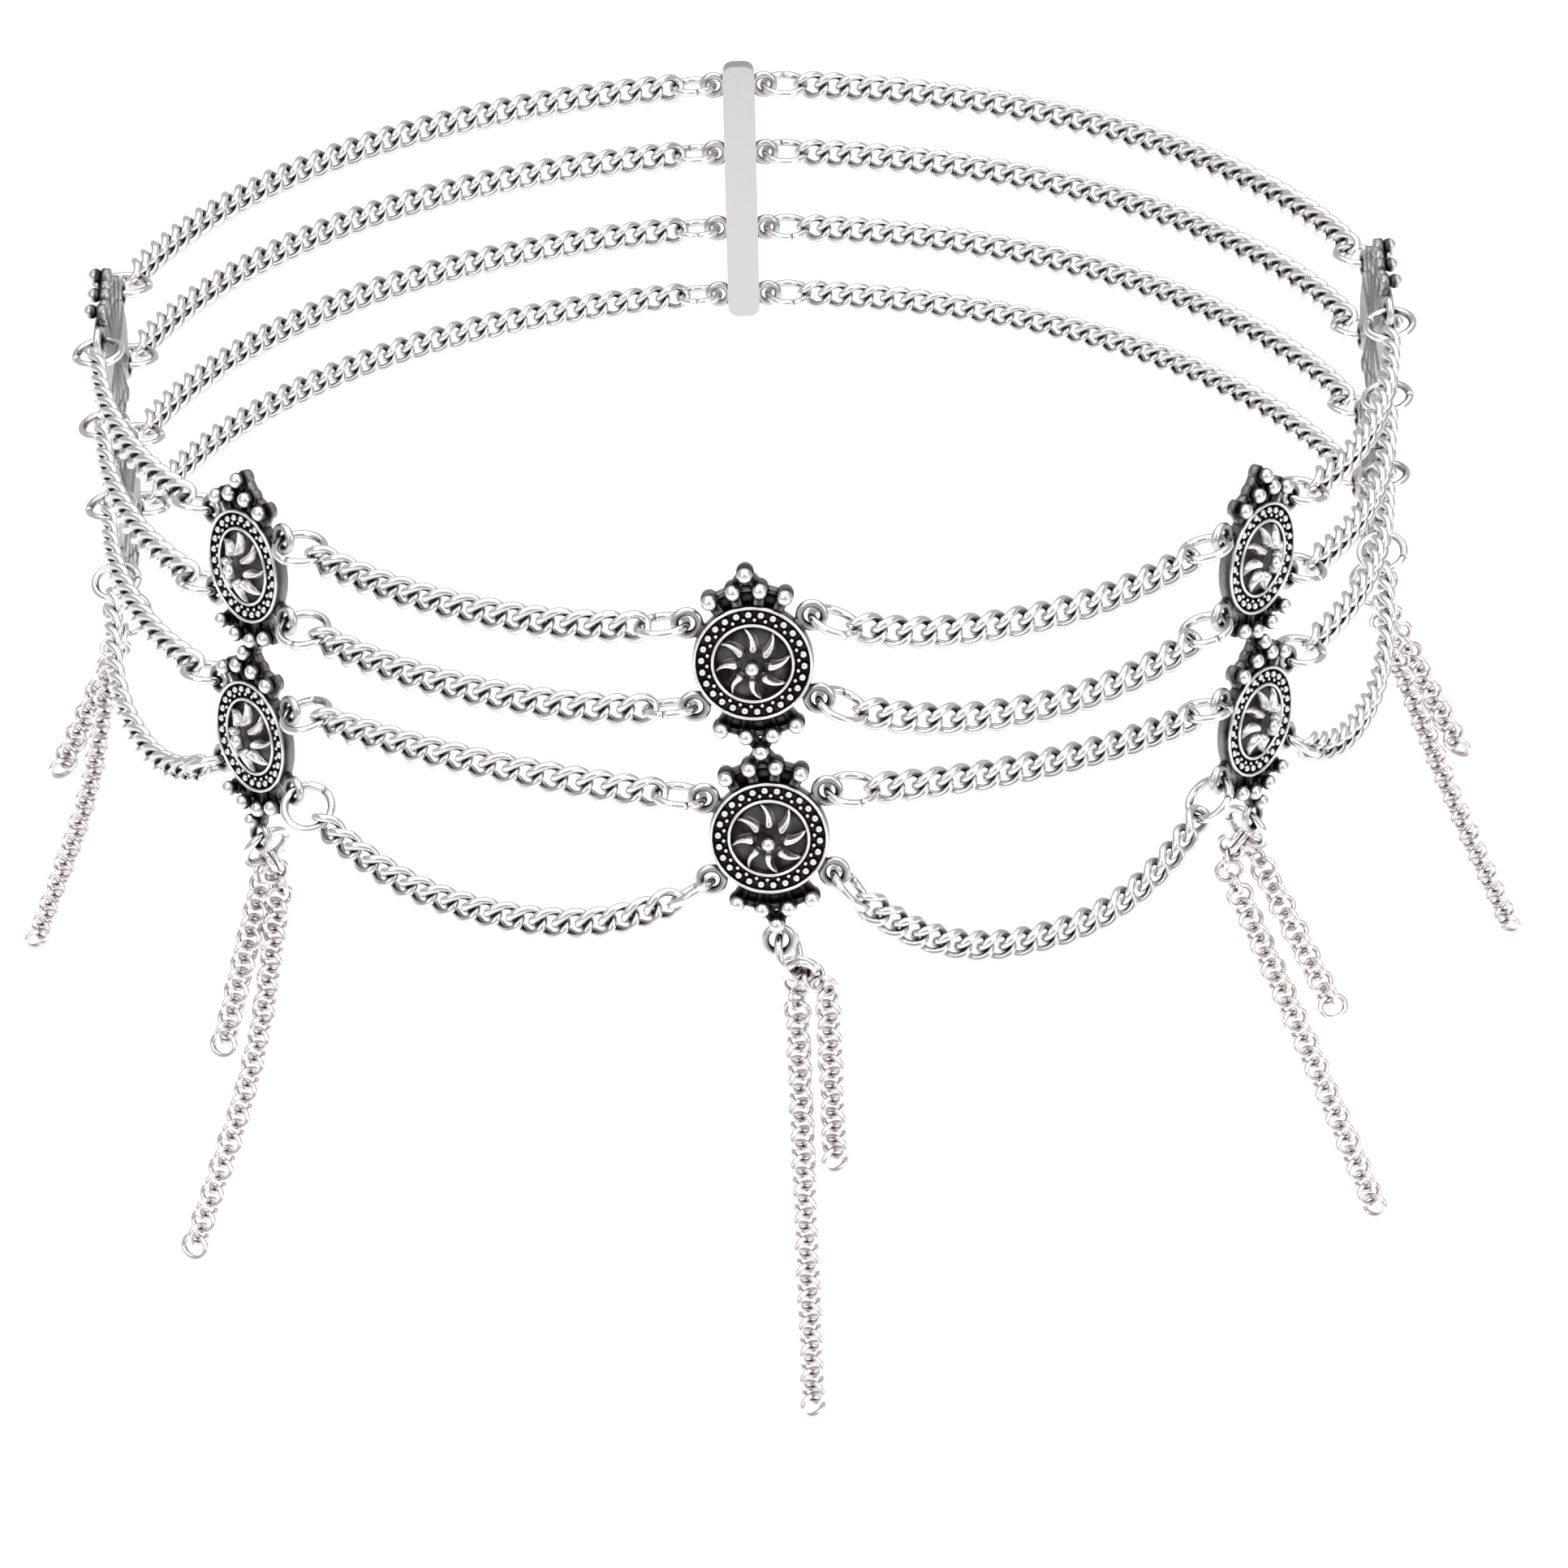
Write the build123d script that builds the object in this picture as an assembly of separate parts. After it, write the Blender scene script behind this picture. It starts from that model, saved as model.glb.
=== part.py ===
from build123d import *
from collections import namedtuple
import math
import os

# Four-strand chain choker with five double medallions, each with a chain tassel.
# The origin is the centre of the loop, on the neck's axis, level with the middle
# of the medallions. +Z is up along the neck, and the front faces -Y.
# Lengths are in millimetres and angles in degrees.

# The loop round the neck
strand_radius = 57.0
full_turn = 360.0
back_angle = full_turn / 2

# Medallion, one cast piece: two round discs one above the other
disc_spacing = 15.5
disc_radius = 5.0
plate_thickness = 0.8
channel_floor = 0.45
ridge_height = 0.9
ridge_width = 0.34
inner_ring_radius = 3.49
field_floor = 0.5
field_peak = 1.2
dot_diameter = 1.14
dot_height = 2.67
granule_count = 24
granule_diameter = 0.62
granule_proud = 0.05

# Comma petals of the pinwheel on each disc
petal_count = 8
petal_head_reach = 1.45
petal_head_radius = 0.36
petal_tip_reach = 3.3
petal_sweep = 20.0
petal_bow = 0.3
petal_rim_height = 0.85
petal_hub_height = 1.75

# Beads round each disc, on small pads
bead_diameter = 1.35
bead_reach = 6.42
bead_sink = 0.1
bead_angles = (-29.0, -10.0, 10.0, 29.0)
pad_radius = 0.85
neck_width = 0.95
band_width = 0.55

# Side loops and bottom eye of a medallion
loop_reach = 6.3
loop_angle = 54.6
loop_ring_radius = 1.02
loop_wire = 0.72
loop_neck_width = 1.3
eye_drop = 1.72
eye_ring_radius = 1.15
eye_wire = 0.66

# Jump rings
jump_ring_radius = 2.05
jump_ring_wire = 0.7

# Curb chain of the strands: twisted oval links
link_wire = 0.56
link_width = 2.8
link_pitch = 2.15
link_twist = 47.0
link_side_slope = 28.0
link_clearance = 0.13
ring_clearance = 0.17

# Fine curb chain of the tassels, drawn as the tube that its links fill
tassel_chain_width = 2.1
tassel_fold_clearance = 0.15
tassel_shoulder = 3.2

# Clasp bar at the nape, hidden in use
clasp_bar_width = 3.2
clasp_bar_corner = 1.05
clasp_bar_thickness = 1.6
clasp_bar_overrun = 2.2
clasp_eye_reach = 2.5

# Medallions: angle from the front towards +X, swing of the face from that angle,
# lean of the top towards the neck, roll of the top towards -X, lift, and reach from
# the neck's axis
Medallion = namedtuple("Medallion", "name angle swing lean roll lift reach")
MEDALLIONS = (
    Medallion("side_left", -95.5, 0.0, 0.0, 0.0, 0.0, 58.2),
    Medallion("left", -48.4, -1.9, 6.0, 5.7, -0.1, 57.0),
    Medallion("center", 0.6, -3.7, 8.1, 4.1, -0.1, 57.0),
    Medallion("right", 49.2, 1.9, 2.2, -1.9, -1.6, 57.0),
    Medallion("side_right", 95.5, 0.0, 0.0, 0.0, 0.0, 58.2),
)

# Tassels: how the ring hangs from the eye (tuck towards the neck, drift along the
# loop, turn about its own hang), the side of the short leg, and the way from the
# ring's far side to the long leg's knee, its end and the short leg's end
Hang = namedtuple("Hang", "length flare drift")
Tassel = namedtuple("Tassel", "name tuck drift turn short_side knee long_end short_end")
TASSELS = (
    Tassel(
        "side_left", -20.0, 15.0, -10.0, -1,
        Hang(17.4, 13.5, 0.0), Hang(36.6, 18.0, 0.0), Hang(17.2, 25.2, 0.0),
    ),
    Tassel(
        "left", 28.0, -21.0, 15.0, -1,
        Hang(19.9, 8.5, 0.0), Hang(38.5, 17.9, 0.0), Hang(18.8, 21.3, 0.0),
    ),
    Tassel(
        "center", 20.0, 24.0, 10.0, 1,
        Hang(21.2, 11.0, 0.1), Hang(41.5, 11.0, 0.5), Hang(18.8, 11.0, 9.8),
    ),
    Tassel(
        "right", 30.0, 19.0, -5.0, 1,
        Hang(19.1, 21.6, 0.0), Hang(37.0, 25.4, 0.0), Hang(18.0, 36.6, 0.0),
    ),
    Tassel(
        "side_right", -20.0, -15.0, 10.0, 1,
        Hang(21.5, 19.2, 0.0), Hang(40.0, 21.1, 0.0), Hang(19.0, 26.8, 0.0),
    ),
)

# Levels of the four strands: disc (+1 upper, -1 lower), loop above or below its middle
Level = namedtuple("Level", "number disc row")
LEVELS = (
    Level(1, 1, 1),
    Level(2, 1, -1),
    Level(3, -1, 1),
    Level(4, -1, -1),
)

# Stretches of the strands: the medallions at the two ends, whether the links are
# modelled, and for each of the four strands its sag, the skew of the sag towards the
# start (+) or the end (-), its bulge from the neck, and the tilt of the jump rings at
# its two ends
Stretch = namedtuple("Stretch", "name start end linked sags skews bulges start_tilts end_tilts")
STRETCHES = (
    Stretch(
        "side_left", "side_left", "left", False,
        (0.8, 0.6, 0.8, 5.6), (0.0, 0.0, 0.0, -0.35), (0.3, 0.3, 0.3, 1.0),
        (-8, -8, -8, -8), (12, 10, 8, 15),
    ),
    Stretch(
        "front_left", "left", "center", True,
        (0.98, 0.87, -1.06, 5.24), (-0.22, -0.33, 0.4, -0.19), (0.3, 0.3, 0.3, 1.0),
        (-6, -12, -16, -30), (6, 14, 7, 18),
    ),
    Stretch(
        "front_right", "center", "right", True,
        (2.3, 3.06, 0.0, 8.47), (0.38, 0.14, 0.0, 0.22), (0.3, 0.3, 0.3, 1.4),
        (-2, -8, -6, -4), (12, 6, 10, 10),
    ),
    Stretch(
        "side_right", "right", "side_right", False,
        (1.5, 1.5, 0.5, 5.6), (0.0, 0.0, 0.0, 0.35), (0.3, 0.3, 0.3, 1.0),
        (-8, -12, -8, -15), (8, 8, 8, 8),
    ),
    Stretch(
        "back_right", "side_right", "clasp", False,
        (0.5, 0.5, 0.5, 0.5), (0.0, 0.0, 0.0, 0.0), (0.0, 0.0, 0.0, 0.0),
        (-5, -5, -5, -5), (5, 5, 5, 5),
    ),
    Stretch(
        "back_left", "clasp", "side_left", False,
        (0.5, 0.5, 0.5, 0.5), (0.0, 0.0, 0.0, 0.0), (0.0, 0.0, 0.0, 0.0),
        (-5, -5, -5, -5), (5, 5, 5, 5),
    ),
)
sag_power = 2.4
path_steps = 240
least_runs = 3
tube_bend_step = 9.0
tube_end_gap = 0.12
strand_tube_width = 2.5
run_share = 0.45


# Vectors and frames

def outward(angle):
    """Direction from the neck's axis to a place on the loop."""
    turn = math.radians(angle)
    return Vector(math.sin(turn), -math.cos(turn), 0)


def along(angle):
    """Direction of increasing angle at a place on the loop."""
    turn = math.radians(angle)
    return Vector(math.cos(turn), math.sin(turn), 0)


def medallion_plane(row):
    """Plane of a medallion: x to its right seen from outside, y up, z outwards."""
    up = Vector(0, 0, 1)
    lean = math.radians(row.lean)
    roll = math.radians(row.roll)
    facing = outward(row.angle + row.swing)
    side = along(row.angle + row.swing)
    rise = up * math.cos(lean) - facing * math.sin(lean)
    front = facing * math.cos(lean) + up * math.sin(lean)
    rolled_side = side * math.cos(roll) + rise * math.sin(roll)
    origin = outward(row.angle) * row.reach + up * row.lift
    return Plane(origin=origin, x_dir=rolled_side, z_dir=front)


def polar(reach, angle):
    """Point in a disc's plane, at an angle from its upright axis towards +x."""
    turn = math.radians(angle)
    return Vector(reach * math.sin(turn), reach * math.cos(turn), 0)


def loop_place(level, side):
    """Centre of a medallion's side loop, in the medallion's plane."""
    disc_center = Vector(0, level.disc * disc_spacing / 2, 0)
    across = loop_reach * math.sin(math.radians(loop_angle))
    rise = loop_reach * math.cos(math.radians(loop_angle))
    return disc_center + Vector(side * across, level.row * rise, 0)


def eye_place():
    """Centre of the bottom eye that holds the tassel's ring."""
    return Vector(0, -disc_spacing - eye_drop, 0)


# Medallion

def bar(start, end, width):
    """Flat bar between two points of the plate's outline."""
    run = end - start
    angle = math.degrees(math.atan2(run.Y, run.X))
    middle = (start + end) / 2
    return Pos(middle.X, middle.Y) * Rot(0, 0, angle) * Rectangle(run.length, width)


def disc_bead_places(disc_y, toward):
    """Beads of the arc above (+1) or below (-1) a disc."""
    places = []
    for angle in bead_angles:
        spot = polar(bead_reach, angle)
        places.append(Vector(spot.X, disc_y + toward * spot.Y, 0))
    return places


def end_bead_places():
    """Beads on the upright axis: top, shared middle and bottom."""
    return [Vector(0, rank * disc_spacing, 0) for rank in (1, 0, -1)]


def back_plate():
    """Scalloped plate of pads, necks and bands that carries the beads."""
    outline = []
    for disc in (1, -1):
        disc_y = disc * disc_spacing / 2
        center = Vector(0, disc_y, 0)
        for toward in (1, -1):
            places = disc_bead_places(disc_y, toward)
            for place in places:
                outline.append(Pos(place.X, place.Y) * Circle(pad_radius))
                outline.append(bar(center, place, neck_width))
            for left, right in zip(places, places[1:]):
                outline.append(bar(left, right, band_width))
            tip = Vector(0, disc_y + toward * disc_spacing / 2, 0)
            for inner in places[1:3]:
                outline.append(bar(inner, tip, neck_width))
        for row in (1, -1):
            for side in (1, -1):
                place = loop_place(Level(0, disc, row), side)
                inward = (center - place).normalized()
                root = place + inward * loop_ring_radius
                outline.append(bar(center, root, loop_neck_width))
    for place in end_bead_places():
        outline.append(Pos(place.X, place.Y) * Circle(pad_radius))
    sketch = outline[0] + outline[1:]
    return extrude(sketch, amount=plate_thickness / 2, both=True)


def ridge_arc(outer):
    """Rounded top of a raised ring, as an arc of the disc's section."""
    crown = ridge_height - ridge_width / 2
    return ThreePointArc(
        (outer, 0, crown),
        (outer - ridge_width / 2, 0, ridge_height),
        (outer - ridge_width, 0, crown),
    )


def disc_body():
    """Disc turned from its section: rim, granule channel, inner ring and field."""
    rim = ridge_arc(disc_radius)
    inner_ring = ridge_arc(inner_ring_radius)
    channel = Polyline(
        rim @ 1,
        (disc_radius - ridge_width, 0, channel_floor),
        (inner_ring_radius, 0, channel_floor),
        inner_ring @ 0,
    )
    dot_radius = dot_diameter / 2
    field = Polyline(
        inner_ring @ 1,
        (inner_ring_radius - ridge_width, 0, field_floor),
        (dot_radius, 0, field_peak),
        (dot_radius, 0, dot_height - dot_radius),
    )
    dot = ThreePointArc(
        field @ 1,
        (dot_radius * math.sqrt(0.5), 0, dot_height - dot_radius * (1 - math.sqrt(0.5))),
        (0, 0, dot_height),
    )
    back = Polyline(
        (0, 0, dot_height),
        (0, 0, -plate_thickness / 2),
        (disc_radius, 0, -plate_thickness / 2),
        rim @ 0,
    )
    outline = []
    for stretch in (rim, channel, inner_ring, field, dot, back):
        outline.extend(stretch.edges())
    return revolve(make_face(outline), axis=Axis.Z)


def petal_outline():
    """Comma with a round head near the hub and a tail that sweeps to a point."""
    head = Vector(petal_head_reach, 0, 0)
    tip_turn = math.radians(petal_sweep)
    tip = Vector(petal_tip_reach * math.cos(tip_turn), petal_tip_reach * math.sin(tip_turn), 0)
    run = (tip - head).normalized()
    aside = Vector(run.Y, -run.X, 0)
    near = head + aside * petal_head_radius
    far = head - aside * petal_head_radius
    back = head - run * petal_head_radius
    outer_side = ThreePointArc(near, (near + tip) / 2 + aside * petal_bow, tip)
    inner_side = ThreePointArc(tip, (far + tip) / 2 + aside * petal_bow, far)
    head_round = ThreePointArc(far, back, near)
    return make_face([*outer_side.edges(), *inner_side.edges(), *head_round.edges()])


def petals():
    """Pinwheel petals, cut to a low cone that rises towards the hub."""
    reach = inner_ring_radius - ridge_width / 2
    cone = revolve(
        make_face(
            Polyline(
                (0, 0, 0),
                (reach, 0, 0),
                (reach, 0, petal_rim_height),
                (dot_diameter / 2, 0, petal_hub_height),
                (0, 0, petal_hub_height),
                close=True,
            ).edges()
        ),
        axis=Axis.Z,
    )
    petal = extrude(petal_outline(), amount=petal_hub_height) & cone
    step = full_turn / petal_count
    return [Rot(0, 0, index * step) * petal for index in range(petal_count)]


def granules():
    """Ring of small grains in the channel between the rim and the inner ring."""
    reach = (disc_radius - ridge_width + inner_ring_radius) / 2
    height = channel_floor + granule_proud
    step = full_turn / granule_count
    grain = Pos(reach, 0, height) * Sphere(granule_diameter / 2)
    return [Rot(0, 0, index * step) * grain for index in range(granule_count)]


def medallion():
    """Whole cast medallion in its own plane."""
    disc = disc_body() + [*petals(), *granules()]
    pieces = []
    for side in (1, -1):
        disc_y = side * disc_spacing / 2
        pieces.append(Pos(0, disc_y) * disc)
    bead_radius = bead_diameter / 2
    bead_height = plate_thickness / 2 + bead_radius - bead_sink
    bead_places = end_bead_places()
    for disc_y in (disc_spacing / 2, -disc_spacing / 2):
        for toward in (1, -1):
            bead_places.extend(disc_bead_places(disc_y, toward))
    for place in bead_places:
        pieces.append(Pos(place.X, place.Y, bead_height) * Sphere(bead_radius))
    for level in LEVELS:
        for side in (1, -1):
            place = loop_place(level, side)
            pieces.append(Pos(place.X, place.Y) * Torus(loop_ring_radius, loop_wire / 2))
    eye = eye_place()
    pieces.append(Pos(eye.X, eye.Y) * Torus(eye_ring_radius, eye_wire / 2))
    return back_plate() + pieces


# Curb link

def link_half_length():
    """Half length of a link's centre line, from the pitch and the clearance."""
    return (link_pitch + link_wire + link_clearance) / 2


def curb_link():
    """Twisted oval link: eight arcs of round wire, joined tangent to each other."""
    twist = math.radians(link_twist)
    slope = math.radians(link_side_slope)
    tip = Vector(link_half_length(), 0, 0)
    flank = Vector(0, (link_width - link_wire) / 2, 0)
    tip_way = Vector(0, math.cos(twist), -math.sin(twist))
    flank_way = Vector(-math.cos(slope), 0, math.sin(slope))
    span = flank - tip
    ways = tip_way + flank_way
    spread = 4 - ways.dot(ways)
    lean = span.dot(ways)
    reach = (-lean + math.sqrt(lean**2 + spread * span.dot(span))) / spread
    joint = (tip + tip_way * reach + flank - flank_way * reach) / 2
    joint_way = (flank - flank_way * reach - tip - tip_way * reach).normalized()
    wire = Circle(link_wire / 2)
    tip_arc = TangentArc(tip, joint, tangent=tip_way)
    flank_arc = TangentArc(joint, flank, tangent=joint_way)
    tip_part = sweep(Plane(origin=tip, z_dir=tip_way) * wire, path=tip_arc)
    flank_part = sweep(Plane(origin=joint, z_dir=joint_way) * wire, path=flank_arc)
    quarter = tip_part + flank_part
    half = quarter + quarter.rotate(Axis.X, 180)
    return half + half.rotate(Axis.Y, 180)


# Strand routes

def clasp_plane():
    """Plane of the clasp bar at the nape."""
    return Plane(
        origin=outward(back_angle) * strand_radius,
        x_dir=along(back_angle),
        z_dir=outward(back_angle),
    )


def anchor_point(name, level, side):
    """Centre of the loop or eye that a strand's end is hooked to."""
    if name == "clasp":
        height = loop_place(level, side).Y
        return clasp_plane().from_local_coords(Vector(side * clasp_eye_reach, height, 0))
    row = next(item for item in MEDALLIONS if item.name == name)
    return medallion_plane(row).from_local_coords(loop_place(level, side))


def strand_route(stretch, level):
    """Points of a strand's centre line from loop to loop, with their arc lengths."""
    start = anchor_point(stretch.start, level, 1)
    end = anchor_point(stretch.end, level, -1)
    start_angle = math.degrees(math.atan2(start.X, -start.Y))
    end_angle = math.degrees(math.atan2(end.X, -end.Y))
    while end_angle < start_angle:
        end_angle += full_turn
    start_reach = math.hypot(start.X, start.Y)
    end_reach = math.hypot(end.X, end.Y)
    sag = stretch.sags[level.number - 1]
    skew = stretch.skews[level.number - 1]
    bulge = stretch.bulges[level.number - 1]
    points = []
    for step in range(path_steps + 1):
        share = step / path_steps
        skewed = share + skew * share * (1 - share)
        drop = 1 - abs(2 * skewed - 1) ** sag_power
        angle = start_angle + (end_angle - start_angle) * share
        reach = start_reach + (end_reach - start_reach) * share + bulge * drop
        height = start.Z + (end.Z - start.Z) * share - sag * drop
        points.append(outward(angle) * reach + Vector(0, 0, height))
    lengths = [0.0]
    for before, after in zip(points, points[1:]):
        lengths.append(lengths[-1] + (after - before).length)
    return points, lengths


def station(route, length):
    """Plane on a route: x along it, z outwards from the neck."""
    points, lengths = route
    index = 1
    while index < path_steps and lengths[index] < length:
        index += 1
    before = points[index - 1]
    after = points[index]
    share = (length - lengths[index - 1]) / (lengths[index] - lengths[index - 1])
    origin = before + (after - before) * share
    way = (after - before).normalized()
    angle = math.degrees(math.atan2(origin.X, -origin.Y))
    front = outward(angle)
    front = (front - way * front.dot(way)).normalized()
    return Plane(origin=origin, x_dir=way, z_dir=front)


def first_link_reach():
    """Distance along a strand from a loop's centre to the first link's centre."""
    hooked = jump_ring_radius - (jump_ring_wire + link_wire) / 2 - ring_clearance
    return jump_ring_radius + hooked + link_half_length()


def linked_strand(stretch, level, link):
    """All the links of one strand, evenly spaced."""
    route = strand_route(stretch, level)
    free_length = route[1][-1] - 2 * first_link_reach()
    gaps = math.ceil(free_length / link_pitch)
    pitch = free_length / gaps
    links = []
    for index in range(gaps + 1):
        place = station(route, first_link_reach() + index * pitch)
        links.append(place.location * link)
    return links


def routed_tube(points, radius):
    """Round tube along straight runs that tangent arcs join."""
    runs = [after - before for before, after in zip(points, points[1:])]
    radii = []
    for before, after in zip(runs, runs[1:]):
        turn = math.radians(before.get_angle(after))
        shorter = min(before.length, after.length)
        radii.append(run_share * shorter / math.tan(turn / 2))
    path = FilletPolyline(*points, radius=radii)
    section = Plane(origin=points[0], z_dir=runs[0]) * Circle(radius)
    return sweep(section, path=path)


def tube_strand(stretch, level):
    """The tube that one strand's links fill."""
    route = strand_route(stretch, level)
    reach = 2 * jump_ring_radius + jump_ring_wire / 2 + tube_end_gap
    free_length = route[1][-1] - 2 * reach
    step = math.radians(tube_bend_step) * strand_radius
    runs = max(least_runs, round(free_length / step))
    points = [
        station(route, reach + free_length * index / runs).origin
        for index in range(runs + 1)
    ]
    return routed_tube(points, strand_tube_width / 2)


# Jump rings

def strand_ring(stretch, level, at_end):
    """Jump ring at one end of a strand, tilted about the strand's own line."""
    route = strand_route(stretch, level)
    tilts = stretch.end_tilts if at_end else stretch.start_tilts
    tilt = tilts[level.number - 1]
    length = route[1][-1] - jump_ring_radius if at_end else jump_ring_radius
    place = station(route, length)
    ring = Torus(jump_ring_radius, jump_ring_wire / 2)
    return place.location * Rot(90 - tilt, 0, 0) * ring


def hang_way(angle, flare, drift):
    """Direction that hangs down, flared from the neck and drifted along the loop."""
    tilt = math.radians(flare)
    down = outward(angle) * math.sin(tilt) - Vector(0, 0, math.cos(tilt))
    return (down + along(angle) * math.tan(math.radians(drift))).normalized()


def tassel_plane(row, tassel):
    """Plane of a tassel's ring: x from the eye to the ring's far side."""
    eye = medallion_plane(row).from_local_coords(eye_place())
    down = hang_way(row.angle, -tassel.tuck, tassel.drift)
    side = along(row.angle)
    side = (side - down * side.dot(down)).normalized()
    side = side.rotate(Axis((0, 0, 0), tuple(down)), tassel.turn)
    return Plane(origin=eye + down * jump_ring_radius, x_dir=down, z_dir=side)


def tassel_ring(row, tassel):
    """Jump ring that hangs in a medallion's bottom eye."""
    place = tassel_plane(row, tassel)
    return place.location * Torus(jump_ring_radius, jump_ring_wire / 2)


def rings_of(name):
    """All jump rings hooked to one medallion or to the clasp."""
    rings = []
    for stretch in STRETCHES:
        for level in LEVELS:
            if stretch.start == name:
                rings.append(strand_ring(stretch, level, False))
            if stretch.end == name:
                rings.append(strand_ring(stretch, level, True))
    for row, tassel in zip(MEDALLIONS, TASSELS):
        if row.name == name:
            rings.append(tassel_ring(row, tassel))
    return rings


# Tassels

def tassel_chain(row, tassel):
    """One fine chain folded over its ring into a long and a short leg."""
    place = tassel_plane(row, tassel)
    down = place.x_dir
    side = place.z_dir * tassel.short_side
    hub = place.origin + down * jump_ring_radius
    fold = (jump_ring_wire + tassel_chain_width) / 2 + tassel_fold_clearance
    long_end, knee, short_end = [
        hub + hang_way(row.angle, hang.flare, hang.drift) * hang.length
        for hang in (tassel.long_end, tassel.knee, tassel.short_end)
    ]
    long_shoulder = hub - side * fold + down * tassel_shoulder
    long_corner = hub - side * fold - down * fold
    short_corner = hub + side * fold - down * fold
    short_shoulder = hub + side * fold + down * tassel_shoulder
    points = [
        long_end, knee, long_shoulder, long_corner,
        short_corner, short_shoulder, short_end,
    ]
    return routed_tube(points, tassel_chain_width / 2)


# Clasp

def clasp_bar():
    """Plain bar with four eyes on each side that gathers the strands at the nape."""
    height = 2 * loop_place(LEVELS[0], 1).Y + 2 * clasp_bar_overrun
    block = Box(clasp_bar_width, height, clasp_bar_thickness)
    block = fillet(block.edges().filter_by(Axis.Z), clasp_bar_corner)
    eyes = []
    for level in LEVELS:
        for side in (1, -1):
            spot = Pos(side * clasp_eye_reach, loop_place(level, side).Y)
            eyes.append(spot * Torus(loop_ring_radius, loop_wire / 2))
    return clasp_plane().location * (block + eyes)


# Files

def save(name, solids):
    """Write one node, as a single solid or as a set of loose ones."""
    shape = solids[0] if len(solids) == 1 else Compound(solids)
    export_step(shape, f"parts/{name}.step")
    print(name, len(shape.solids()), round(shape.volume, 2))


def main():
    os.makedirs("parts", exist_ok=True)
    cast = medallion()
    for row, tassel in zip(MEDALLIONS, TASSELS):
        save(f"medallion_{row.name}", [medallion_plane(row).location * cast])
        save(f"jump_rings_{row.name}", rings_of(row.name))
        save(f"tassel_{row.name}", [tassel_chain(row, tassel)])
    link = curb_link()
    for stretch in STRETCHES:
        for level in LEVELS:
            if stretch.linked:
                solids = linked_strand(stretch, level, link)
            else:
                solids = [tube_strand(stretch, level)]
            save(f"strand_{level.number}_{stretch.name}", solids)
    save("clasp_bar", [clasp_bar()])
    save("jump_rings_clasp", rings_of("clasp"))


main()
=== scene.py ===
import math
import random
from collections import namedtuple

import bpy
import numpy as np
from mathutils import Matrix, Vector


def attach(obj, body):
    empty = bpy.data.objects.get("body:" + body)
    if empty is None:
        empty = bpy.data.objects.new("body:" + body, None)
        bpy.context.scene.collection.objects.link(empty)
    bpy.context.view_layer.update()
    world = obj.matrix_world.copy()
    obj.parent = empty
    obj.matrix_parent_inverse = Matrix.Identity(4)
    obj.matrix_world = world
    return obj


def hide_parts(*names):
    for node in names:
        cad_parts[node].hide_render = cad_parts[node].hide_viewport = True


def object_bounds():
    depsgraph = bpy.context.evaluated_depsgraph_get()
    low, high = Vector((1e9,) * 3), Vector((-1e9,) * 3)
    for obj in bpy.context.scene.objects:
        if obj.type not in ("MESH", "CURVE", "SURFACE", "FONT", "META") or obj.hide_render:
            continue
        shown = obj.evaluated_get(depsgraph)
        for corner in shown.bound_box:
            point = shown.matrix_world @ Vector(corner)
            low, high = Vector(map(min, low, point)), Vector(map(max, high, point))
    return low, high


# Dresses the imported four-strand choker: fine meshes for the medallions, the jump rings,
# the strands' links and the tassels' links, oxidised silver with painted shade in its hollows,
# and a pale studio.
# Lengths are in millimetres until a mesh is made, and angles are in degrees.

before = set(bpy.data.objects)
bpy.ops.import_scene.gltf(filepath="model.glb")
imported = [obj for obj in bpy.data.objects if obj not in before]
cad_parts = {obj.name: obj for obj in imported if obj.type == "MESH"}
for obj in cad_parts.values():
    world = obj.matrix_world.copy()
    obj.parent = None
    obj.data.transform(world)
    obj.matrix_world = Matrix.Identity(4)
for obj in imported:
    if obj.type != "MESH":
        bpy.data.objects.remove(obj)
cad_low, cad_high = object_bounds()

MM = 0.001
random_seed = 7
draw = random.Random(random_seed)
full_turn = 360.0
half_turn = full_turn / 2
quarter_turn = full_turn / 4

# Loop round the neck and clasp, as in the solids
strand_radius = 57.0
back_angle = half_turn
clasp_eye_reach = 2.5

# Medallion: discs, plate, beads, side loops and bottom eye, as in the solids
disc_spacing = 15.5
disc_radius = 5.0
plate_thickness = 0.8
channel_floor = 0.45
ridge_height = 0.9
ridge_width = 0.34
inner_ring_radius = 3.49
field_floor = 0.5
dot_radius = 0.57
dot_height = 2.67
bead_reach = 6.42
bead_sink = 0.1
bead_angles = (-29.0, -10.0, 10.0, 29.0)
neck_width = 0.95
band_width = 0.55
loop_reach = 6.3
loop_angle = 54.6
loop_ring_radius = 1.02
loop_wire = 0.72
loop_neck_width = 1.3
eye_drop = 1.72
eye_ring_radius = 1.15
eye_wire = 0.66

# Medallion: sizes of the scene's own, for its field, grains, beads, pads and web
field_peak = 1.15
granule_count = 26
granule_radius = 0.34
granule_proud = 0.13
granule_reach = 4.24
seed_radius = 0.2
seed_reach = 3.78
seed_proud = 0.16
bead_radius = 0.67
pad_radius = 0.72
web_reach = 6.15
web_spread = 34.0
web_top = 0.1
chamfer = 0.12

# Strands and jump rings, as in the solids
jump_ring_radius = 2.05
jump_ring_wire = 0.7
link_wire = 0.56
link_pitch = 2.15
link_clearance = 0.13
ring_clearance = 0.17
sag_power = 2.4
path_steps = 240

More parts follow.
